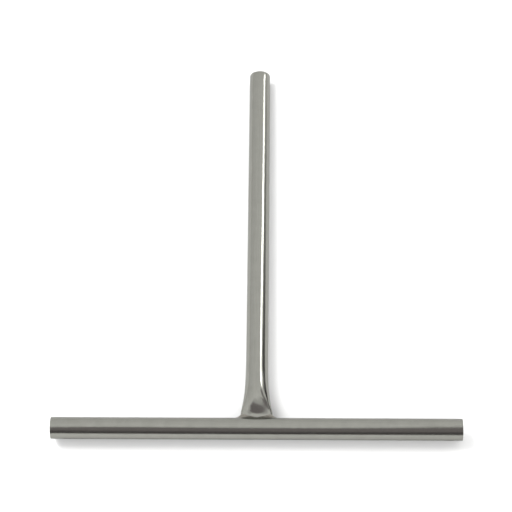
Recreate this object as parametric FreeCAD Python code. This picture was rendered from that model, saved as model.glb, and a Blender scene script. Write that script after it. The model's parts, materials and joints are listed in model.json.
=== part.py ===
import FreeCAD, Part
import math
import os

# Window squeegee of welded stainless tube: a T of one crossbar and one handle, with a rubber
# blade held in a slot along the underside of the crossbar.
#
# Row frame, in millimetres. The tool lies as it is put down: +X runs along the crossbar, +Y
# along the handle to its free end, and +Z is up. The origin is on the wiping edge, under the
# middle of the crossbar, on the surface that the tool rests on.
#
# The steel is first drawn square, with the crossbar's axis through (0, 0, 0) and the handle's
# axis along +Y. It is then lifted by the height of the blade, and tilted so that the handle's
# free end touches the surface too.

# Driving dimensions
CROSSBAR_R = 8.0            # outer radius of the crossbar
HANDLE_R = 8.25             # outer radius of the handle where it is round
WALL = 1.0                  # wall of both tubes
CROSSBAR_LENGTH = 300.0
HANDLE_REACH = 320.0        # crossbar axis to the handle's free end
RIM_CHAMFER = 0.3           # deburred edge at each sawn tube end

FOOT_HALF_THICKNESS = 2.2   # the handle's pinched foot, where it meets the crossbar
PINCH_START = 10.0          # distance from the crossbar axis at which the foot starts to open
PINCH_END = 62.0            # distance at which the handle is a round tube again
PINCH_LENGTH = 9.5          # how fast the pinch opens into the round
PINCH_SOFTNESS = 4.0        # how gently the flat part of the foot turns into the slope
PINCH_SECTIONS = 20
FOLD_ANGLE_FLAT = 86.0      # half angle of the foot's folded edges where it is flat, degrees
FOLD_ANGLE_ROUND = 55.0     # the same where it is round again

WELD_SIDE_TOE = 11.2        # the weld's y where it meets the foot's folded edges
WELD_SIDE_LEG = 5.5         # its leg along the crossbar, beside the foot
WELD_SIDE_HOLLOW = 0.85     # how hollow its face is there, from 0 for a flat face to 1
WELD_FACE_TOE = 9.8         # the weld's y where it meets the foot's upper and lower faces
WELD_FACE_LEG = 2.75        # its leg round the crossbar, above and below the foot
WELD_FACE_REACH = 6.3       # the weld's y where that leg ends on the crossbar
WELD_FACE_HOLLOW = 0.15
WELD_SECTIONS = 10

END_DISC_THICKNESS = 1.5
END_DISC_GAP = 0.03         # radial gap of the closing disc in the handle's bore

SLOT_WIDTH = 3.0            # slot along the underside of the crossbar
BEAD_GAP = 0.2              # radial room of the rubber bead in the crossbar's bore
BEAD_CORE_R = 2.5           # hollow core that lets the bead squeeze into the bore
LIP_THICKNESS = 2.4         # rubber lip where it passes the slot
EDGE_THICKNESS = 1.8        # rubber lip at the wiping edge
LIP_REACH = 14.0            # crossbar axis to the wiping edge

CROSSBAR_BORE_R = CROSSBAR_R - WALL
TILT = math.degrees(math.asin((LIP_REACH - HANDLE_R) / HANDLE_REACH))
X_AXIS = FreeCAD.Vector(1, 0, 0)
Y_AXIS = FreeCAD.Vector(0, 1, 0)
ORIGIN = FreeCAD.Vector(0, 0, 0)


def placed(shape):
    """Put a shape drawn square to the crossbar where it is on the tool."""
    seated = shape.copy()
    seated.rotate(ORIGIN, X_AXIS, -TILT)
    seated.translate(FreeCAD.Vector(0, 0, LIP_REACH))
    return seated


def round_bar(radius, length, start, direction):
    return Part.makeCylinder(radius, length, start, direction)


def oval(y, half_width, half_thickness, fold_angle, inset=0.0):
    """A closed section across the handle at y: two folded edges joined by two flatter faces.

    The four arcs meet tangentially. fold_angle is half the angle that each folded edge turns
    through, and inset draws the same section that much further in.
    """
    cosine = math.cos(math.radians(fold_angle))
    sine = math.sin(math.radians(fold_angle))
    radii_apart = (half_width - half_thickness) / (sine + cosine - 1.0)
    fold_r = half_width - radii_apart * cosine - inset
    face_r = half_thickness + radii_apart * sine - inset
    fold_x = half_width - inset - fold_r
    face_z = half_thickness - inset - face_r
    corner_x = fold_x + fold_r * cosine
    corner_z = fold_r * sine
    top = half_thickness - inset
    side = half_width - inset

    def point(x, z):
        return FreeCAD.Vector(x, y, z)

    arcs = [
        Part.Arc(point(corner_x, -corner_z), point(side, 0), point(corner_x, corner_z)),
        Part.Arc(point(corner_x, corner_z), point(0, top), point(-corner_x, corner_z)),
        Part.Arc(point(-corner_x, corner_z), point(-side, 0), point(-corner_x, -corner_z)),
        Part.Arc(point(-corner_x, -corner_z), point(0, -top), point(corner_x, -corner_z)),
    ]
    return Part.Wire([arc.toShape() for arc in arcs])


def pinch(y):
    """How far the tube is squeezed at y: 1 where it is flat, falling to 0 where it is round."""
    def squeeze(distance):
        return math.exp(-distance ** 2 / (PINCH_LENGTH * (distance + PINCH_SOFTNESS)))

    left_over = squeeze(PINCH_END - PINCH_START)
    return (squeeze(max(y - PINCH_START, 0.0)) - left_over) / (1.0 - left_over)


def foot_size(y):
    """Half width, half thickness and fold angle of the foot at y.

    Squeezing a tube doesn't stretch its wall, so the way round it stays that of the stock.
    The half width follows from that.
    """
    squeezed = pinch(y)
    half_thickness = HANDLE_R - (HANDLE_R - FOOT_HALF_THICKNESS) * squeezed
    fold_angle = FOLD_ANGLE_ROUND + (FOLD_ANGLE_FLAT - FOLD_ANGLE_ROUND) * squeezed
    fold = math.radians(fold_angle)
    face = math.pi / 2.0 - fold
    spread = 1.0 / (math.sin(fold) + math.cos(fold) - 1.0)
    per_width = fold * (1.0 - spread * math.cos(fold)) + face * spread * math.sin(fold)
    per_thickness = fold * spread * math.cos(fold) + face * (1.0 - spread * math.sin(fold))
    quarter_way_round = math.pi * HANDLE_R / 2.0
    half_width = (quarter_way_round - half_thickness * per_thickness) / per_width
    return half_width, half_thickness, fold_angle


def handle_body(inset):
    """The handle's outside, or with inset its bore, from the crossbar's middle to its free end."""
    wires = []
    for index in range(PINCH_SECTIONS + 1):
        # The stations crowd together where the foot opens fastest.
        along = (index / PINCH_SECTIONS) ** 1.6
        y = PINCH_START + (PINCH_END - PINCH_START) * along
        wires.append(oval(y, *foot_size(y), inset))
    flat_foot = oval(0.0, *foot_size(0.0), inset)
    foot = Part.makeLoft([flat_foot, wires[0]], True, True)
    foot = foot.fuse(Part.makeLoft(wires, True, False))
    straight = round_bar(HANDLE_R - inset, HANDLE_REACH - PINCH_END,
                         FreeCAD.Vector(0, PINCH_END, 0), Y_AXIS)
    if inset == 0.0:
        rim = [edge for edge in straight.Edges
               if abs(edge.BoundBox.YMin - HANDLE_REACH) < 1e-6]
        straight = straight.makeChamfer(RIM_CHAMFER, rim)
    return foot.fuse(straight)


def crossbar_outside():
    start = FreeCAD.Vector(-CROSSBAR_LENGTH / 2, 0, 0)
    return round_bar(CROSSBAR_R, CROSSBAR_LENGTH, start, X_AXIS)


def crossbar_tube():
    """Sawn tube with deburred ends and a slot along its underside for the rubber lip."""
    outside = crossbar_outside()
    rims = [edge for edge in outside.Edges if edge.BoundBox.XLength < 1e-6]
    outside = outside.makeChamfer(RIM_CHAMFER, rims)
    start = FreeCAD.Vector(-CROSSBAR_LENGTH / 2, 0, 0)
    bore = round_bar(CROSSBAR_BORE_R, CROSSBAR_LENGTH, start, X_AXIS)
    slot = Part.makeBox(CROSSBAR_LENGTH, SLOT_WIDTH, CROSSBAR_R,
                        FreeCAD.Vector(-CROSSBAR_LENGTH / 2, -SLOT_WIDTH / 2, -CROSSBAR_R))
    tube = outside.cut(bore).cut(slot)
    tube.translate(FreeCAD.Vector(0, 0, LIP_REACH))
    return tube


def handle_tube():
    """The handle: a round tube, pinched flat at its foot and coped to sit on the crossbar."""
    tube = handle_body(0.0).cut(handle_body(WALL))
    return placed(tube.cut(crossbar_outside()))


def weld_height(way_in, hollow):
    """Height of the weld's face as a share of its leg, from 0 at its toe on the foot to 1."""
    return way_in * (1.0 - hollow + hollow * abs(way_in))


def handle_foot_weld():
    """The dressed fillet weld all round the foot, between the handle and the crossbar."""
    wires = []
    last = WELD_SIDE_TOE + 0.6
    for index in range(WELD_SECTIONS + 1):
        y = WELD_FACE_REACH + (last - WELD_FACE_REACH) * index / WELD_SECTIONS
        side_in = min((WELD_SIDE_TOE - y) / (WELD_SIDE_TOE - CROSSBAR_R), 1.0)
        face_in = (WELD_FACE_TOE - y) / (WELD_FACE_TOE - WELD_FACE_REACH)
        half_width, half_thickness, fold_angle = foot_size(y)
        wide = half_width + WELD_SIDE_LEG * weld_height(side_in, WELD_SIDE_HOLLOW)
        thick = half_thickness + WELD_FACE_LEG * weld_height(face_in, WELD_FACE_HOLLOW)
        wires.append(oval(y, wide, thick, fold_angle - 8.0 * max(side_in, 0.0)))
    bead = Part.makeLoft(wires, True, True)
    return placed(bead.cut(crossbar_outside()).cut(handle_body(0.0)))


def handle_end_disc():
    """Flat disc that closes the handle's free end, welded in and ground flush."""
    start = FreeCAD.Vector(0, HANDLE_REACH - END_DISC_THICKNESS, 0)
    disc_r = HANDLE_R - WALL - END_DISC_GAP
    return placed(round_bar(disc_r, END_DISC_THICKNESS, start, Y_AXIS))


def wiper_blade():
    """Extruded rubber: a hollow bead in the crossbar's bore, and a lip down through the slot."""
    bead_r = CROSSBAR_BORE_R - BEAD_GAP
    half_lip = LIP_THICKNESS / 2.0
    half_edge = EDGE_THICKNESS / 2.0
    neck_z = -math.sqrt(bead_r ** 2 - half_lip ** 2)
    straight_z = -CROSSBAR_R

    def point(y, z):
        return FreeCAD.Vector(-CROSSBAR_LENGTH / 2, y, z)

    outline = Part.Wire([
        Part.Arc(point(half_lip, neck_z), point(0, bead_r), point(-half_lip, neck_z)).toShape(),
        Part.makeLine(point(-half_lip, neck_z), point(-half_lip, straight_z)),
        Part.makeLine(point(-half_lip, straight_z), point(-half_edge, -LIP_REACH)),
        Part.makeLine(point(-half_edge, -LIP_REACH), point(half_edge, -LIP_REACH)),
        Part.makeLine(point(half_edge, -LIP_REACH), point(half_lip, straight_z)),
        Part.makeLine(point(half_lip, straight_z), point(half_lip, neck_z)),
    ])
    solid = Part.Face(outline).extrude(FreeCAD.Vector(CROSSBAR_LENGTH, 0, 0))
    start = FreeCAD.Vector(-CROSSBAR_LENGTH / 2, 0, 0)
    blade = solid.cut(round_bar(BEAD_CORE_R, CROSSBAR_LENGTH, start, X_AXIS))
    blade.translate(FreeCAD.Vector(0, 0, LIP_REACH))
    return blade


NODES = {
    "crossbar_tube": crossbar_tube,
    "handle_tube": handle_tube,
    "handle_foot_weld": handle_foot_weld,
    "handle_end_disc": handle_end_disc,
    "wiper_blade": wiper_blade,
}

os.makedirs("parts", exist_ok=True)
for node, build in NODES.items():
    shape = build()
    shape.exportStep(os.path.join("parts", node + ".step"))
    box = shape.BoundBox
    print(f"{node}: {len(shape.Solids)} solid, valid {shape.isValid()}, {shape.Volume:.1f} mm3, "
          f"x {box.XMin:.2f}..{box.XMax:.2f} y {box.YMin:.2f}..{box.YMax:.2f} "
          f"z {box.ZMin:.2f}..{box.ZMax:.2f}")
print(f"handle tilt {TILT:.3f} degrees")
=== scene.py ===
# %% [markdown]
# # A window squeegee of welded steel tube
# The tool is a T. A slotted crossbar tube grips a rubber blade, and a handle tube, pressed flat at
# its foot, is welded to the middle of the crossbar. This lesson builds each piece round the packed
# frame, which gives its place and main sizes, and finishes the metal, the rubber and the light.
# Everything is in metres: +X runs along the crossbar, +Y along the handle, and +Z is up.

# %% Load the frame
import json
import math

import bmesh
import bpy
from mathutils import Matrix, Quaternion, Vector


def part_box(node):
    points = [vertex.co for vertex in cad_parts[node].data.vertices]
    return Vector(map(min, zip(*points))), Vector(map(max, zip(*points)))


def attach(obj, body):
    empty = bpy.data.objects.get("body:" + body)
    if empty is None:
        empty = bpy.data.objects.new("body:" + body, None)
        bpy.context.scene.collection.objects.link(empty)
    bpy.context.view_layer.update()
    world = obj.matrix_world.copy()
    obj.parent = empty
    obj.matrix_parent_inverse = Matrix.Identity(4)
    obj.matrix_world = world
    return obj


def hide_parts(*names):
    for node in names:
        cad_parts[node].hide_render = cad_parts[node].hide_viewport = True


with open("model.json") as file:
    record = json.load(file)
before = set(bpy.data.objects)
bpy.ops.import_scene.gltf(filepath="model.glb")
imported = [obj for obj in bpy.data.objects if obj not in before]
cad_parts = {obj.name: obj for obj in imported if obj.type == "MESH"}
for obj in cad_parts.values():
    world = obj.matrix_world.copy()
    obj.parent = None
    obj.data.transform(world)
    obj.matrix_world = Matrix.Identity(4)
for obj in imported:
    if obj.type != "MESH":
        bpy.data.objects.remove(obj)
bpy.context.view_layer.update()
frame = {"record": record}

# %% [markdown]
# ## Sizes
# A maker works from a few driving sizes. Those of the tubes come from the frame: the crossbar's box
# gives its radius, length and height, and the grip, which is a mount in the record, gives the
# handle's radius and the way it points. What the frame doesn't say, such as how the foot is pressed
# and how large the weld is, is given in millimetres where it is built.

# %% Read the sizes
MM = 0.001
grip = next(mount for mount in frame["record"]["mounts"] if mount["name"] == "handle_grip")
bar_low, bar_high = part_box("crossbar_tube")
tube_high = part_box("handle_tube")[1]
blade_low, blade_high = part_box("wiper_blade")

BAR_R = (bar_high.y - bar_low.y) / 2
BAR_HALF = (bar_high.x - bar_low.x) / 2
BAR_Z = bar_high.z - BAR_R
TUBE_R = grip["dims"]["r_mm"] * MM
TILT = math.asin(-grip["axis"][2])
REACH = (tube_high.y - TUBE_R * math.sin(TILT)) / math.cos(TILT)
WALL = 1.0 * MM
print(f"crossbar {2 * BAR_R / MM:.1f} mm thick and {2 * BAR_HALF / MM:.0f} long")
print(f"handle {2 * TUBE_R / MM:.1f} mm thick, reach {REACH / MM:.1f}, "
      f"tilt {math.degrees(TILT):.2f} degrees")

# %% [markdown]
# ## From a bmesh to a piece
# Every piece ends the same way: its doubles are merged, its faces are turned outwards, and it
# becomes an object that rides on a body of the frame and stands for a plain CAD solid. Edges
# sharper than a set angle stay crisp and the rest are shaded smooth, which is what light does on
# a drawn tube with a deburred end. Pieces that follow the handle are drawn square to the crossbar,
# like the tube in a welder's jig, and `seat` then tilts them and lifts them to their place.

# %% Finish a piece
CRISP_ANGLE = math.radians(38)
MERGE = 0.002 * MM
SEAT = Matrix.Translation((0, 0, BAR_Z)) @ Matrix.Rotation(-TILT, 4, "X")


def seat(bm):
    """Put what was drawn square, with the crossbar's axis at the origin, where it is on the tool."""
    bmesh.ops.transform(bm, matrix=SEAT, verts=bm.verts)


def finish_piece(name, bm, body, node, material):
    """Make a bmesh into an object that rides on a body and stands for a CAD node."""
    bmesh.ops.remove_doubles(bm, verts=bm.verts, dist=MERGE)
    bmesh.ops.recalc_face_normals(bm, faces=bm.faces)
    mesh = bpy.data.meshes.new(name)
    bm.to_mesh(mesh)
    bm.free()
    mesh.shade_smooth()
    mesh.set_sharp_from_angle(angle=CRISP_ANGLE)
    mesh.materials.append(material)
    piece = bpy.data.objects.new(name, mesh)
    bpy.context.scene.collection.objects.link(piece)
    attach(piece, body)
    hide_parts(node)
    print(f"{name}: {len(mesh.vertices)} points, {len(mesh.polygons)} faces")
    return piece


def bevel_crisp_edges(bm, width, steps=3):
    """Round the edges where faces meet sharply, as a file or a tumbler does."""
    crisp = [edge for edge in bm.edges
             if len(edge.link_faces) == 2 and edge.calc_face_angle() > CRISP_ANGLE]
    bmesh.ops.bevel(bm, geom=crisp, offset=width, offset_type="OFFSET", segments=steps,
                    profile=0.5, affect="EDGES", material=-1, clamp_overlap=True)


# %% [markdown]
# ## Nodes by one small function
# A material is a tree of nodes. `add` puts one node in it: what is given by socket name is either
# set as a value or, where it is another node's output, linked. Properties of the node itself, such
# as a noise's dimensions, are keyword arguments. Colours are written as the sRGB hex codes of a
# colour chart, and one function turns them into the linear values that Blender works with.

# %% Colour and node helpers
def linear(code):
    """A colour as linear red, green, blue and alpha, from its sRGB hex code."""
    channels = [int(code[place:place + 2], 16) / 255 for place in (1, 3, 5)]
    return tuple(c / 12.92 if c <= 0.04045 else ((c + 0.055) / 1.055) ** 2.4
                 for c in channels) + (1.0,)


def add(tree, kind, sockets=None, **properties):
    """Add one node, with its properties, and set or link its sockets. Returns the node."""
    node = tree.nodes.new("ShaderNode" + kind)
    for name, value in properties.items():
        setattr(node, name, value)
    for name, value in (sockets or {}).items():
        if isinstance(value, bpy.types.NodeSocket):
            tree.links.new(value, node.inputs[name])
        else:
            node.inputs[name].default_value = value
    return node


def new_material(name):
    material = bpy.data.materials.new(name)
    material.use_nodes = True
    material.node_tree.nodes.clear()
    return material, material.node_tree


# %% [markdown]
# ## Drawn stainless tube
# The tubes are taken as stainless steel, drawn through a die and finished with a fine belt.
# The die and the belt leave lines along the tube, so a reflection is sharp along it and a little
# soft across it. Handling leaves faint cloudy marks, seen more in the gloss than in the colour.
# The lines are a noise stretched along the tube: real ones are 0.1 mm apart, too fine to show from
# a metre and a half, so they are drawn 0.5 mm apart. A second noise, some millimetres wide, is the
# waviness that a drawn tube keeps, and it is what makes a straight reflection wander a little.
# `grazing` tones down the mirror seen almost edge on, as real steel does.

# %% Steel material
LINE_SPACING = 0.5 * MM
LINE_LENGTH = 40 * MM
CLOUD_SIZE = 9 * MM
GRAIN_SIZE = 0.9 * MM


def drawn_steel(name, along, colours, grazing, roughness, grain, waviness):
    """Satin drawn stainless tube. along is 0 for a tube along X and 1 for one along Y."""
    material, tree = new_material(name)
    place = add(tree, "TexCoord").outputs["Object"]
    stretch = [1 / LINE_SPACING] * 3
    stretch[along] = 1 / LINE_LENGTH
    drawn = add(tree, "Mapping", {"Vector": place, "Scale": stretch}).outputs["Vector"]
    lines = add(tree, "TexNoise", {"Vector": drawn, "Scale": 1.0, "Detail": 2.0}).outputs["Fac"]
    clouds = add(tree, "TexNoise", {"Vector": place, "Scale": 1 / CLOUD_SIZE, "Detail": 3.0})
    specks = add(tree, "TexNoise", {"Vector": place, "Scale": 1 / GRAIN_SIZE, "Detail": 1.0})
    worn = add(tree, "Math", {0: clouds.outputs["Fac"], 1: lines}, operation="ADD")
    gloss = add(tree, "MapRange", {"Value": worn.outputs[0], "From Min": 0.6, "From Max": 1.4,
                                   "To Min": roughness * 0.8, "To Max": roughness * 1.25})
    tint = add(tree, "MapRange", {"Value": worn.outputs[0], "From Min": 0.7, "From Max": 1.3,
                                  "To Min": 0.0, "To Max": 1.0})
    paint = add(tree, "Mix", {"Factor": tint.outputs[0], "A": linear(colours[0]),
                              "B": linear(colours[1])}, data_type="RGBA")
    scratched = add(tree, "Bump", {"Height": lines, "Strength": 1.0, "Distance": 0.0016 * MM})
    grained = add(tree, "Bump", {"Height": specks.outputs["Fac"], "Strength": 1.0,
                                 "Distance": grain * MM, "Normal": scratched.outputs[0]})
    waves = add(tree, "Bump", {"Height": clouds.outputs["Fac"], "Strength": 1.0,
                               "Distance": waviness * MM, "Normal": grained.outputs[0]})
    steel = add(tree, "BsdfPrincipled", {"Base Color": paint.outputs["Result"], "Metallic": 1.0,
                                         "Roughness": gloss.outputs[0], "Normal": waves.outputs[0],
                                         "Specular Tint": linear(grazing)})
    add(tree, "OutputMaterial", {"Surface": steel.outputs[0]})
    print(f"{name}: roughness about {roughness}")
    return material


crossbar_steel = drawn_steel("drawn_stainless_crossbar", 0, ("#8A8A84", "#82827C"), "#CACACA",
                             roughness=0.18, grain=0.035, waviness=0.05)
handle_steel = drawn_steel("drawn_stainless_handle", 1, ("#8A8A84", "#84847E"), "#DEDEDE",
                           roughness=0.15, grain=0.002, waviness=0.03)

# %% [markdown]
# ## Weld metal
# The fillet round the foot is a stainless weld, run by hand and then dressed with an abrasive
# flap. It is the same alloy as the tubes but a little darker and duller, with a fine scratch in
# every direction, and the low ripples of the run are still just there.

# %% Weld material
def dressed_weld(name):
    material, tree = new_material(name)
    place = add(tree, "TexCoord").outputs["Object"]
    scratch = add(tree, "TexNoise", {"Vector": place, "Scale": 1 / (0.6 * MM), "Detail": 3.0})
    cloud = add(tree, "TexNoise", {"Vector": place, "Scale": 1 / (3 * MM), "Detail": 2.0})
    gloss = add(tree, "MapRange", {"Value": cloud.outputs["Fac"], "To Min": 0.22, "To Max": 0.4})
    paint = add(tree, "Mix", {"Factor": cloud.outputs["Fac"], "A": linear("#85837C"),
                              "B": linear("#75716A")}, data_type="RGBA")
    rough = add(tree, "Bump", {"Height": scratch.outputs["Fac"], "Strength": 1.0,
                               "Distance": 0.01 * MM})
    steel = add(tree, "BsdfPrincipled", {"Base Color": paint.outputs["Result"], "Metallic": 1.0,
                                         "Roughness": gloss.outputs[0], "Normal": rough.outputs[0]})
    add(tree, "OutputMaterial", {"Surface": steel.outputs[0]})
    return material


weld_steel = dressed_weld("dressed_stainless_weld")
print("material", weld_steel.name)

# %% [markdown]
# ## Ground steel disc
# The disc that closes the handle is flat sheet, ground flush after welding on a belt sander. The
# belt leaves straight parallel lines across the face, coarser than the tube's.

# %% Disc material
def ground_steel(name):
    material, tree = new_material(name)
    place = add(tree, "TexCoord").outputs["Object"]
    belt = add(tree, "Mapping", {"Vector": place, "Scale": (1 / (25 * MM), 1.0, 1 / (0.3 * MM))})
    lines = add(tree, "TexNoise", {"Vector": belt.outputs["Vector"], "Scale": 1.0, "Detail": 2.0})
    gloss = add(tree, "MapRange", {"Value": lines.outputs["Fac"], "To Min": 0.2, "To Max": 0.42})
    paint = add(tree, "Mix", {"Factor": lines.outputs["Fac"], "A": linear("#8E8D88"),
                              "B": linear("#7B7A75")}, data_type="RGBA")
    rough = add(tree, "Bump", {"Height": lines.outputs["Fac"], "Strength": 1.0,
                               "Distance": 0.01 * MM})
    steel = add(tree, "BsdfPrincipled", {"Base Color": paint.outputs["Result"], "Metallic": 1.0,
                                         "Roughness": gloss.outputs[0], "Normal": rough.outputs[0]})
    add(tree, "OutputMaterial", {"Surface": steel.outputs[0]})
    return material


disc_steel = ground_steel("belt_ground_stainless")
print("material", disc_steel.name)

# %% [markdown]
# ## Extruded rubber
# The blade is taken as EPDM rubber, pushed through a die that leaves faint lines. It is a deep
# grey rather than black, soft in its gloss, and a bloom of dust sits lighter in places.

# %% Rubber material
def extruded_rubber(name):
    material, tree = new_material(name)
    place = add(tree, "TexCoord").outputs["Object"]
    die = add(tree, "Mapping", {"Vector": place,
                                "Scale": (1 / (60 * MM), 1 / (0.4 * MM), 1 / (0.4 * MM))})
    lines = add(tree, "TexNoise", {"Vector": die.outputs["Vector"], "Scale": 1.0, "Detail": 2.0})
    bloom = add(tree, "TexNoise", {"Vector": place, "Scale": 1 / (12 * MM), "Detail": 5.0})
    dusty = add(tree, "MapRange", {"Value": bloom.outputs["Fac"], "From Min": 0.45, "From Max": 0.75})
    paint = add(tree, "Mix", {"Factor": dusty.outputs[0], "A": linear("#1F1F21"),
                              "B": linear("#34343A")}, data_type="RGBA")
    gloss = add(tree, "MapRange", {"Value": lines.outputs["Fac"], "To Min": 0.5, "To Max": 0.68})
    grooves = add(tree, "Bump", {"Height": lines.outputs["Fac"], "Strength": 1.0,
                                 "Distance": 0.02 * MM})
    rubber = add(tree, "BsdfPrincipled", {"Base Color": paint.outputs["Result"], "IOR": 1.52,
                                          "Roughness": gloss.outputs[0],
                                          "Normal": grooves.outputs[0]})
    add(tree, "OutputMaterial", {"Surface": rubber.outputs[0]})
    return material


blade_rubber = extruded_rubber("extruded_epdm_rubber")
print("material", blade_rubber.name)

# %% [markdown]
# ## Crossbar
# The crossbar is a length of 16 mm tube with a slot milled along its underside, through which the
# rubber's lip comes out. A tube could be a circle that is extruded and solidified, but a slot with
# parallel walls is easier as a section: two open arcs, one for the outside and one for the bore,
# are bridged into a flat C, and the C is extruded along the bar. Its edges are then deburred.

# %% Build the crossbar
ROUND_STEPS = 144
SLOT_HALF = 1.5 * MM
DEBURR = 0.22 * MM


def arc_round_bar(bm, radius, half_gap):
    """Edges of an arc at the bar's left end, round its axis, with a gap of 2 * half_gap below."""
    below = math.asin(half_gap / radius)
    start = bm.verts.new((-BAR_HALF, half_gap, BAR_Z - radius * math.cos(below)))
    drawn_before = set(bm.edges)
    bmesh.ops.spin(bm, geom=[start], cent=(0, 0, BAR_Z), axis=(1, 0, 0), dvec=(0, 0, 0),
                   angle=2 * (math.pi - below), steps=ROUND_STEPS, use_duplicate=False)
    return [edge for edge in bm.edges if edge not in drawn_before]


def extrude_along_bar(bm, faces):
    grown = bmesh.ops.extrude_face_region(bm, geom=faces)["geom"]
    far_end = [item for item in grown if isinstance(item, bmesh.types.BMVert)]
    bmesh.ops.translate(bm, vec=(2 * BAR_HALF, 0, 0), verts=far_end)


def build_crossbar():
    bm = bmesh.new()
    outside = arc_round_bar(bm, BAR_R, SLOT_HALF)
    bore = arc_round_bar(bm, BAR_R - WALL, SLOT_HALF)
    ring = bmesh.ops.bridge_loops(bm, edges=outside + bore)["faces"]
    extrude_along_bar(bm, ring)
    bmesh.ops.recalc_face_normals(bm, faces=bm.faces)
    bevel_crisp_edges(bm, DEBURR)
    finish_piece("crossbar", bm, "frame", "crossbar_tube", crossbar_steel)


build_crossbar()

# %% [markdown]
# ## Handle
# The handle starts as a straight round tube. At its foot it is pressed between two blocks until it
# is a flat tongue, as wide as half the way round it, and then eases back to the round. A press
# doesn't stretch the wall, so the way round the tube stays the same at every station. The mesh is
# made in the same order: rings of a straight tube are drawn out along Y, and then `pressed` moves
# each point to the place that it reaches when the tube is squeezed, as far round the new section
# as it was round the old one. The section is four arcs that meet tangentially: two tight folds and
# two flatter faces.
#
# The blocks aren't quite flat or square, which a bare metal face shows at once. They leave the faces
# sunk between the crossbar and a slanted crease. Beyond it the faces climb steeply, and ease into
# the round tube. `relief` gives that climb from a few stations along the foot: at each one, how far
# the face is sunk or raised and how steeply it climbs, joined by cubic curves. It fades out towards
# both folds.

# %% Press the foot
FLAT_HALF = 2.2 * MM
PINCH_START = 10.0 * MM
PINCH_END = 62.0 * MM
PINCH_LENGTH = 9.5 * MM
PINCH_SOFTNESS = 4.0 * MM
FOLD_FLAT = math.radians(86)
FOLD_ROUND = math.radians(55)
CREASE = 10.9 * MM
CREASE_SKEW = 0.27
# Stations beyond the crease, in millimetres: (distance, height, climb).
RELIEF = [(0.0, -0.85, 0.15), (11.0, 0.55, 0.09), (17.0, 0.72, 0.0), (36.0, 0.0, 0.0)]
RELIEF_LEFT = (-8.0 * MM, -3.0 * MM)
RELIEF_RIGHT = (8.0 * MM, 10.2 * MM)


def squeeze_left(distance):
    return math.exp(-distance ** 2 / (PINCH_LENGTH * (distance + PINCH_SOFTNESS)))


def pinch(along):
    """How far the tube is squeezed: 1 where it is flat, falling to 0 where it is round."""
    last = squeeze_left(PINCH_END - PINCH_START)
    if along >= PINCH_END:
        return 0.0
    return (squeeze_left(max(along - PINCH_START, 0.0)) - last) / (1.0 - last)


def foot_size(along):
    """Half width, half thickness and fold angle of the foot, for an unstretched wall."""
    squeezed = pinch(along)
    half_thickness = TUBE_R - (TUBE_R - FLAT_HALF) * squeezed
    fold = FOLD_ROUND + (FOLD_FLAT - FOLD_ROUND) * squeezed
    face = math.pi / 2 - fold
    spread = 1 / (math.sin(fold) + math.cos(fold) - 1)
    per_width = fold * (1 - spread * math.cos(fold)) + face * spread * math.sin(fold)
    per_thickness = fold * spread * math.cos(fold) + face * (1 - spread * math.sin(fold))
    half_width = (math.pi * TUBE_R / 2 - half_thickness * per_thickness) / per_width
    return half_width, half_thickness, fold


def ease(low, high, value):
    """A smooth step from 0 to 1 as a value goes from low to high."""
    share = min(max((value - low) / (high - low), 0.0), 1.0)
    return share * share * (3 - 2 * share)


def relief(across, along):
    """How far the press blocks sink (below 0) or raise the faces."""
    beyond = (along - CREASE + CREASE_SKEW * across) / MM
    height = RELIEF[0][1] if beyond < RELIEF[0][0] else 0.0
    for (start, low, climb), (end, high, climb_at_end) in zip(RELIEF, RELIEF[1:]):
        if start <= beyond < end:
            run = end - start
            share = (beyond - start) / run
            rise = ease(0.0, 1.0, share)
            height = (low + (high - low) * rise + run * climb * share * (1 - share) ** 2
                      - run * climb_at_end * share ** 2 * (1 - share))
    inside = ease(*RELIEF_LEFT, across) * (1 - ease(*RELIEF_RIGHT, across))
    return height * inside * MM


def pressed(turn, along, wider=0.0, thicker=0.0):
    """Where a point of the round tube, at an angle turn from +X, goes when the tube is squeezed."""
    half_width, half_thickness, fold = foot_size(along)
    half_width += wider
    half_thickness += thicker
    apart = (half_width - half_thickness) / (math.sin(fold) + math.cos(fold) - 1)
    fold_r = half_width - apart * math.cos(fold)
    face_r = half_thickness + apart * math.sin(fold)
    acute = math.asin(min(abs(math.sin(turn)), 1.0))
    gone = acute / (math.pi / 2) * (fold_r * fold + face_r * (math.pi / 2 - fold))
    if gone < fold_r * fold:
        across = half_width - fold_r + fold_r * math.cos(gone / fold_r)
        up = fold_r * math.sin(gone / fold_r)
    else:
        angle = fold + (gone - fold_r * fold) / face_r
        across = face_r * math.cos(angle)
        up = half_thickness - face_r + face_r * math.sin(angle)
    across = math.copysign(across, math.cos(turn))
    up = max(up + relief(across, along), 0.0)
    return across, math.copysign(up, math.sin(turn))


# %% Build the handle
TUBE_SEGMENTS = 160
FOOT_STEP = 0.8 * MM
STRAIGHT_STEP = 8.6 * MM
TUBE_START = 7.0 * MM
COPE_GAP = 0.02 * MM
DEBURR_STEPS = 3
DEBURR_ANGLE = math.radians(50)
UPRIGHT = Matrix.Rotation(math.pi / 2, 4, "X")


def on_bar(up, radius):
    """How far from the crossbar's axis, along the handle, a point at this height meets the bar."""
    return math.sqrt(max(radius ** 2 - up ** 2, 0.0))


def grow_ring(bm, ring):
    """Extrude a ring of edges without moving it. Returns the new ring and its points."""
    grown = bmesh.ops.extrude_edge_only(bm, edges=ring)["geom"]
    points = {item for item in grown if isinstance(item, bmesh.types.BMVert)}
    new_ring = [item for item in grown if isinstance(item, bmesh.types.BMEdge)
                and item.verts[0] in points and item.verts[1] in points]
    return new_ring, points


def draw_out(bm, ring, distance):
    """Extrude a ring of edges by a distance along the handle, and return the new ring."""
    new_ring, points = grow_ring(bm, ring)
    bmesh.ops.translate(bm, vec=(0, distance, 0), verts=list(points))
    return new_ring


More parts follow.
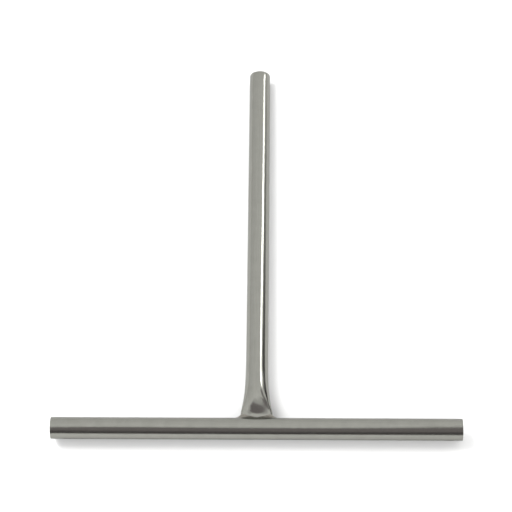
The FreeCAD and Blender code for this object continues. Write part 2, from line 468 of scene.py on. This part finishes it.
def build_handle():
    bm = bmesh.new()
    bmesh.ops.create_circle(bm, cap_ends=False, radius=TUBE_R, segments=TUBE_SEGMENTS,
                            matrix=Matrix.Translation((0, TUBE_START, 0)) @ UPRIGHT)
    ring = list(bm.edges)
    foot_rings = round((PINCH_END - TUBE_START) / FOOT_STEP)
    straight_rings = round((REACH - PINCH_END) / STRAIGHT_STEP)
    for _ in range(foot_rings):
        ring = draw_out(bm, ring, (PINCH_END - TUBE_START) / foot_rings)
    for _ in range(straight_rings):
        ring = draw_out(bm, ring, (REACH - PINCH_END) / straight_rings)
    for point in bm.verts:
        turn = math.atan2(point.co.z, point.co.x)
        along = point.co.y
        across, up = pressed(turn, along)
        cope = on_bar(up, BAR_R) + COPE_GAP
        point.co = (across, max(along, cope), up)
    bmesh.ops.recalc_face_normals(bm, faces=bm.faces)
    seat(bm)
    piece = finish_piece("handle", bm, "frame", "handle_tube", handle_steel)
    wall = piece.modifiers.new("wall", "SOLIDIFY")
    wall.thickness = WALL
    wall.offset = -1.0
    rim = piece.modifiers.new("deburred rim", "BEVEL")
    rim.width = DEBURR
    rim.segments = DEBURR_STEPS
    rim.limit_method = "ANGLE"
    rim.angle_limit = DEBURR_ANGLE


build_handle()

# %% [markdown]
# ## Weld
# The weld is a fillet all round the foot: its face leaves the foot at one toe, sweeps out in a
# hollow curve, and lands on the crossbar at the other. Beside the folds it is large and hollow,
# and above and below the foot it is a thin line. Each spoke of the fillet is one quadratic curve,
# pulled towards the corner that it fills. A circle becomes the toe on the foot, and is extruded
# ring by ring to the toe on the crossbar, then round the hidden root, where it is bridged shut.

# %% Build the weld
WELD_SEGMENTS = 160
WELD_RINGS = 10
SIDE_TOE = 11.2 * MM
SIDE_LEG = 5.5 * MM
SIDE_HOLLOW = 0.5
FACE_TOE = 8.9 * MM
FACE_LEG = 1.7 * MM
FACE_HOLLOW = 0.15
SUNK = 0.06 * MM
RIPPLE = 0.05 * MM
RIPPLES = 46
RIPPLE_DRIFT = 2
RIPPLE_DRIFTS = 3
SIDE_REACH = 1.5
ROOT_WIDTH = 0.97
ROOT_HEIGHT = 0.9


def weld_spoke(turn, share):
    """A point of the weld's face, from the toe on the foot (share 0) to that on the crossbar (1)."""
    sideways = abs(math.cos(turn)) ** SIDE_REACH
    toe_along = FACE_TOE + (SIDE_TOE - FACE_TOE) * sideways
    hollow = FACE_HOLLOW + (SIDE_HOLLOW - FACE_HOLLOW) * sideways
    across, up = pressed(turn, toe_along)
    toe = Vector((across, toe_along, up))
    root = Vector((across, on_bar(up, BAR_R), up))
    out_across, out_up = pressed(turn, BAR_R, SIDE_LEG, FACE_LEG)
    landing = Vector((out_across, on_bar(out_up, BAR_R), out_up))
    middle = (toe + landing) / 2
    pull = middle + (root - middle) * hollow
    rest = 1 - share
    point = toe * rest ** 2 + pull * 2 * rest * share + landing * share ** 2
    drift = RIPPLE_DRIFT * math.sin(RIPPLE_DRIFTS * turn)
    swell = RIPPLE * math.sin(math.pi * share) * math.sin(RIPPLES * turn + drift)
    return point + (middle - root).normalized() * swell


def build_weld():
    bm = bmesh.new()
    bmesh.ops.create_circle(bm, cap_ends=False, radius=TUBE_R, segments=WELD_SEGMENTS,
                            matrix=UPRIGHT)
    ring = list(bm.edges)
    turns = {point: math.atan2(point.co.z, point.co.x) for point in bm.verts}
    first_ring = list(ring)
    for point, turn in turns.items():
        point.co = weld_spoke(turn, 0.0)
    for step in range(1, WELD_RINGS + 2):
        ring, points = grow_ring(bm, ring)
        behind = {point: next(edge.other_vert(point) for edge in point.link_edges
                              if edge.other_vert(point) in turns) for point in points}
        turns = {point: turns[behind[point]] for point in points}
        for point, turn in turns.items():
            if step <= WELD_RINGS:
                point.co = weld_spoke(turn, step / WELD_RINGS)
            else:
                across, up = pressed(turn, BAR_R)
                point.co = (across * ROOT_WIDTH, on_bar(up, BAR_R) - SUNK, up * ROOT_HEIGHT)
    bmesh.ops.bridge_loops(bm, edges=ring + first_ring)
    seat(bm)
    finish_piece("foot_weld", bm, "frame", "handle_foot_weld", weld_steel)


build_weld()

# %% [markdown]
# ## End disc
# A disc of sheet steel closes the handle's free end. It is let into the bore, welded round and
# ground flush, so only a hairline shows. A capped circle is extruded to the sheet's thickness and
# its rim is broken, which draws that hairline against the deburred tube.

# %% Build the end disc
DISC_THICKNESS = 1.5 * MM
DISC_GAP = 0.03 * MM
DISC_RIM = 0.12 * MM


def build_disc():
    bm = bmesh.new()
    inner_face = Matrix.Translation((0, REACH - DISC_THICKNESS, 0)) @ UPRIGHT
    bmesh.ops.create_circle(bm, cap_ends=True, radius=TUBE_R - WALL - DISC_GAP,
                            segments=TUBE_SEGMENTS, matrix=inner_face)
    grown = bmesh.ops.extrude_face_region(bm, geom=list(bm.faces))["geom"]
    outer = [item for item in grown if isinstance(item, bmesh.types.BMVert)]
    bmesh.ops.translate(bm, vec=(0, DISC_THICKNESS, 0), verts=outer)
    bmesh.ops.recalc_face_normals(bm, faces=bm.faces)
    bevel_crisp_edges(bm, DISC_RIM, steps=2)
    seat(bm)
    finish_piece("end_disc", bm, "frame", "handle_end_disc", disc_steel)


build_disc()

# %% [markdown]
# ## Rubber blade
# The blade is one extrusion: a hollow round bead, which runs in the crossbar's bore, and a lip
# that tapers to the square edge that wipes the glass. Its section is drawn as an arc for the
# bead and a few points for the lip, filled round the bead's hollow core, and extruded along the bar.

# %% Build the blade
BEAD_R = (blade_high.y - blade_low.y) / 2
CORE_R = 2.5 * MM
LIP_HALF = 1.2 * MM
EDGE_HALF = 0.9 * MM
CORE_SEGMENTS = 48


def build_blade():
    bm = bmesh.new()
    bead = arc_round_bar(bm, BEAD_R, LIP_HALF)
    neck = sorted((point for point in bm.verts if len(point.link_edges) == 1),
                  key=lambda point: point.co.y)
    corners = [neck[0]]
    for side, height in ((-LIP_HALF, BAR_Z - BAR_R), (-EDGE_HALF, blade_low.z),
                         (EDGE_HALF, blade_low.z), (LIP_HALF, BAR_Z - BAR_R)):
        corners.append(bm.verts.new((-BAR_HALF, side, height)))
    corners.append(neck[1])
    lip = [bm.edges.new(pair) for pair in zip(corners, corners[1:])]
    sideways = Matrix.Translation((-BAR_HALF, 0, BAR_Z)) @ Matrix.Rotation(math.pi / 2, 4, "Y")
    drawn_before = set(bm.edges)
    bmesh.ops.create_circle(bm, cap_ends=False, radius=CORE_R, segments=CORE_SEGMENTS,
                            matrix=sideways)
    core = [edge for edge in bm.edges if edge not in drawn_before]
    section = bmesh.ops.triangle_fill(bm, edges=bead + lip + core, use_beauty=True)["geom"]
    extrude_along_bar(bm, [item for item in section if isinstance(item, bmesh.types.BMFace)])
    finish_piece("rubber_blade", bm, "blade", "wiper_blade", blade_rubber)


build_blade()

# %% [markdown]
# ## Floor
# A plain matt board, painted white. The paint is very slightly uneven, so that it isn't one flat
# colour.

# %% Floor
FLOOR_HALF = 6.0


def build_floor():
    bm = bmesh.new()
    bmesh.ops.create_grid(bm, x_segments=2, y_segments=2, size=FLOOR_HALF)
    mesh = bpy.data.meshes.new("floor")
    bm.to_mesh(mesh)
    bm.free()
    board = bpy.data.objects.new("floor", mesh)
    bpy.context.scene.collection.objects.link(board)
    material, tree = new_material("white_painted_board")
    place = add(tree, "TexCoord").outputs["Object"]
    patch = add(tree, "TexNoise", {"Vector": place, "Scale": 3.0, "Detail": 2.0})
    paint = add(tree, "Mix", {"Factor": patch.outputs["Fac"], "A": linear("#CECECE"),
                              "B": linear("#CACACA")}, data_type="RGBA")
    board_paint = add(tree, "BsdfPrincipled", {"Base Color": paint.outputs["Result"],
                                               "Roughness": 0.9, "Specular IOR Level": 0.1})
    add(tree, "OutputMaterial", {"Surface": board_paint.outputs[0]})
    mesh.materials.append(material)


build_floor()
print("floor", 2 * FLOOR_HALF, "m square")

# %% [markdown]
# ## Studio light
# Bare metal has hardly any colour of its own: what it shows is the room. So the room is built like a
# studio for small products. It is white all round, a little brighter overhead, with a dark area
# where the camera and its stand are. A narrow tall lamp to the right draws the bright line along the
# handle, and dark cards beside it draw the dark lines. Each card or lamp is a patch of a dome, given
# by the compass direction and the height, in degrees, at which the squeegee sees it: direction 0 is
# along the handle and 90 is to the right. The patches show in reflections, and throw next to no
# light on the matt floor. Two large soft lamps do the opposite: reflections don't show them, and
# they shape the shadow. The key is on the left, and a fill low in front reaches under the crossbar.

# %% World
ROOM_LEVEL = 1.53


def build_world():
    world = bpy.data.worlds.new("white_room")
    bpy.context.scene.world = world
    world.use_nodes = True
    tree = world.node_tree
    tree.nodes.clear()
    way = add(tree, "TexCoord").outputs["Generated"]
    height = add(tree, "SeparateXYZ", {0: way}).outputs["Z"]
    ramp = add(tree, "ValToRGB", {"Fac": height})
    stops = ramp.color_ramp.elements
    levels = [(0.0, 0.78), (0.26, 0.81), (0.56, 0.84), (0.87, 0.91), (0.985, 0.95), (1.0, 1.0)]
    while len(stops) < len(levels):
        stops.new(0.5)
    for stop, (at, level) in zip(stops, levels):
        stop.position = at
        stop.color = (level, level, level * 0.995, 1.0)
    light = add(tree, "Background", {"Color": ramp.outputs["Color"], "Strength": ROOM_LEVEL})
    add(tree, "OutputWorld", {"Surface": light.outputs[0]})


build_world()
print("room level", ROOM_LEVEL)

# %% Cards and lamps
DOME_R = 3.0
DOME_CENTRE = Vector((0, 0.1, 0))
STEPS_UP = 12
STEPS_ROUND = 24


def glow(name, level, colour):
    material, tree = new_material(name)
    lamp = add(tree, "Emission", {"Color": linear(colour), "Strength": level})
    add(tree, "OutputMaterial", {"Surface": lamp.outputs[0]})
    return material


def dome_patch(name, directions, heights, level, colour):
    """A patch of a dome round the squeegee that gives off light of one level."""
    bm = bmesh.new()
    low, high = (math.radians(height) for height in heights)
    left, right = (math.radians(direction) for direction in directions)
    start = bm.verts.new((0, DOME_R * math.cos(low), DOME_R * math.sin(low)))
    bmesh.ops.spin(bm, geom=[start], cent=(0, 0, 0), axis=(1, 0, 0), dvec=(0, 0, 0),
                   angle=high - low, steps=STEPS_UP, use_duplicate=False)
    bmesh.ops.rotate(bm, cent=(0, 0, 0), matrix=Matrix.Rotation(-left, 3, "Z"), verts=bm.verts)
    bmesh.ops.spin(bm, geom=list(bm.verts) + list(bm.edges), cent=(0, 0, 0), axis=(0, 0, 1),
                   dvec=(0, 0, 0), angle=left - right, steps=STEPS_ROUND, use_duplicate=False)
    bmesh.ops.translate(bm, vec=DOME_CENTRE, verts=bm.verts)
    mesh = bpy.data.meshes.new(name)
    bm.to_mesh(mesh)
    bm.free()
    patch = bpy.data.objects.new(name, mesh)
    bpy.context.scene.collection.objects.link(patch)
    mesh.materials.append(glow(name, level, colour))
    patch.visible_camera = False
    patch.visible_shadow = False
    patch.visible_diffuse = False


WHITE = "#FFFFFF"
WARM_DARK = "#FFF5F9"
# Name, directions from and to, heights from and to, level, colour.
PATCHES = [
    ("dark_room_base", (76, 232), (5, 20), 0.14, WARM_DARK),
    ("dark_room_low", (76, 232), (20, 34), 0.22, WARM_DARK),
    ("dark_room_high", (86, 232), (34, 69), 0.42, WARM_DARK),
    ("dark_room_top", (86, 232), (69, 78), 1.15, WHITE),
    ("dark_card", (57, 76), (3, 36), 0.13, WARM_DARK),
    ("dark_flag", (54.5, 95), (51, 61), 0.36, WARM_DARK),
    ("grey_card", (51, 57), (3, 25), 0.55, WHITE),
    ("tall_lamp", (43.5, 50.5), (26, 47), 11.5, WHITE),
    ("lamp_foot", (37, 43.5), (16, 31), 9.0, WHITE),
    ("lamp_head", (50.5, 54), (42, 47), 7.0, WHITE),
]
for patch_values in PATCHES:
    dome_patch(*patch_values)
print(len(PATCHES), "cards and lamps on a dome of", DOME_R, "m")

# %% Key and fill lamps
LAMP_SIZE = 0.9
LAMP_DISTANCE = 1.7


def soft_lamp(name, direction, height, watts):
    """A large round soft lamp that reflections don't show, at a direction and height in degrees."""
    lamp = bpy.data.lights.new(name, "AREA")
    lamp.shape = "DISK"
    lamp.size = LAMP_SIZE
    lamp.energy = watts
    holder = bpy.data.objects.new(name, lamp)
    bpy.context.scene.collection.objects.link(holder)
    direction, height = math.radians(direction), math.radians(height)
    way = Vector((math.sin(direction) * math.cos(height), math.cos(direction) * math.cos(height),
                  math.sin(height)))
    holder.location = DOME_CENTRE + way * LAMP_DISTANCE
    holder.rotation_mode = "QUATERNION"
    holder.rotation_quaternion = (-way).to_track_quat("-Z", "Y")
    holder.visible_glossy = False


soft_lamp("soft_key", direction=-75, height=60, watts=28)
soft_lamp("soft_fill", direction=175, height=38, watts=17)
print("key and fill lamps", LAMP_DISTANCE, "m away")

# %% [markdown]
# ## Camera
# A long lens, a metre and a half away, looks down at the tool from beyond the crossbar.

# %% Camera
CAMERA_FROM = Vector((16.45, -656.97, 1348.4)) * MM
CAMERA_AT = Vector((-1.85, 155.43, 0.0)) * MM
CAMERA_ROLL = math.radians(-0.896)
LENS_MM = 143.03
SENSOR_MM = 36.0


def build_camera():
    lens = bpy.data.cameras.new("long_lens")
    lens.lens = LENS_MM
    lens.sensor_width = SENSOR_MM
    lens.clip_start = 0.05
    lens.clip_end = 50.0
    camera = bpy.data.objects.new("camera", lens)
    bpy.context.scene.collection.objects.link(camera)
    camera.location = CAMERA_FROM
    camera.rotation_mode = "QUATERNION"
    level = (CAMERA_AT - CAMERA_FROM).to_track_quat("-Z", "Y")
    camera.rotation_quaternion = level @ Quaternion((0, 0, 1), CAMERA_ROLL)
    bpy.context.scene.camera = camera
    bpy.context.scene.view_settings.view_transform = "Standard"


build_camera()
print(f"camera {(CAMERA_AT - CAMERA_FROM).length:.2f} m away")
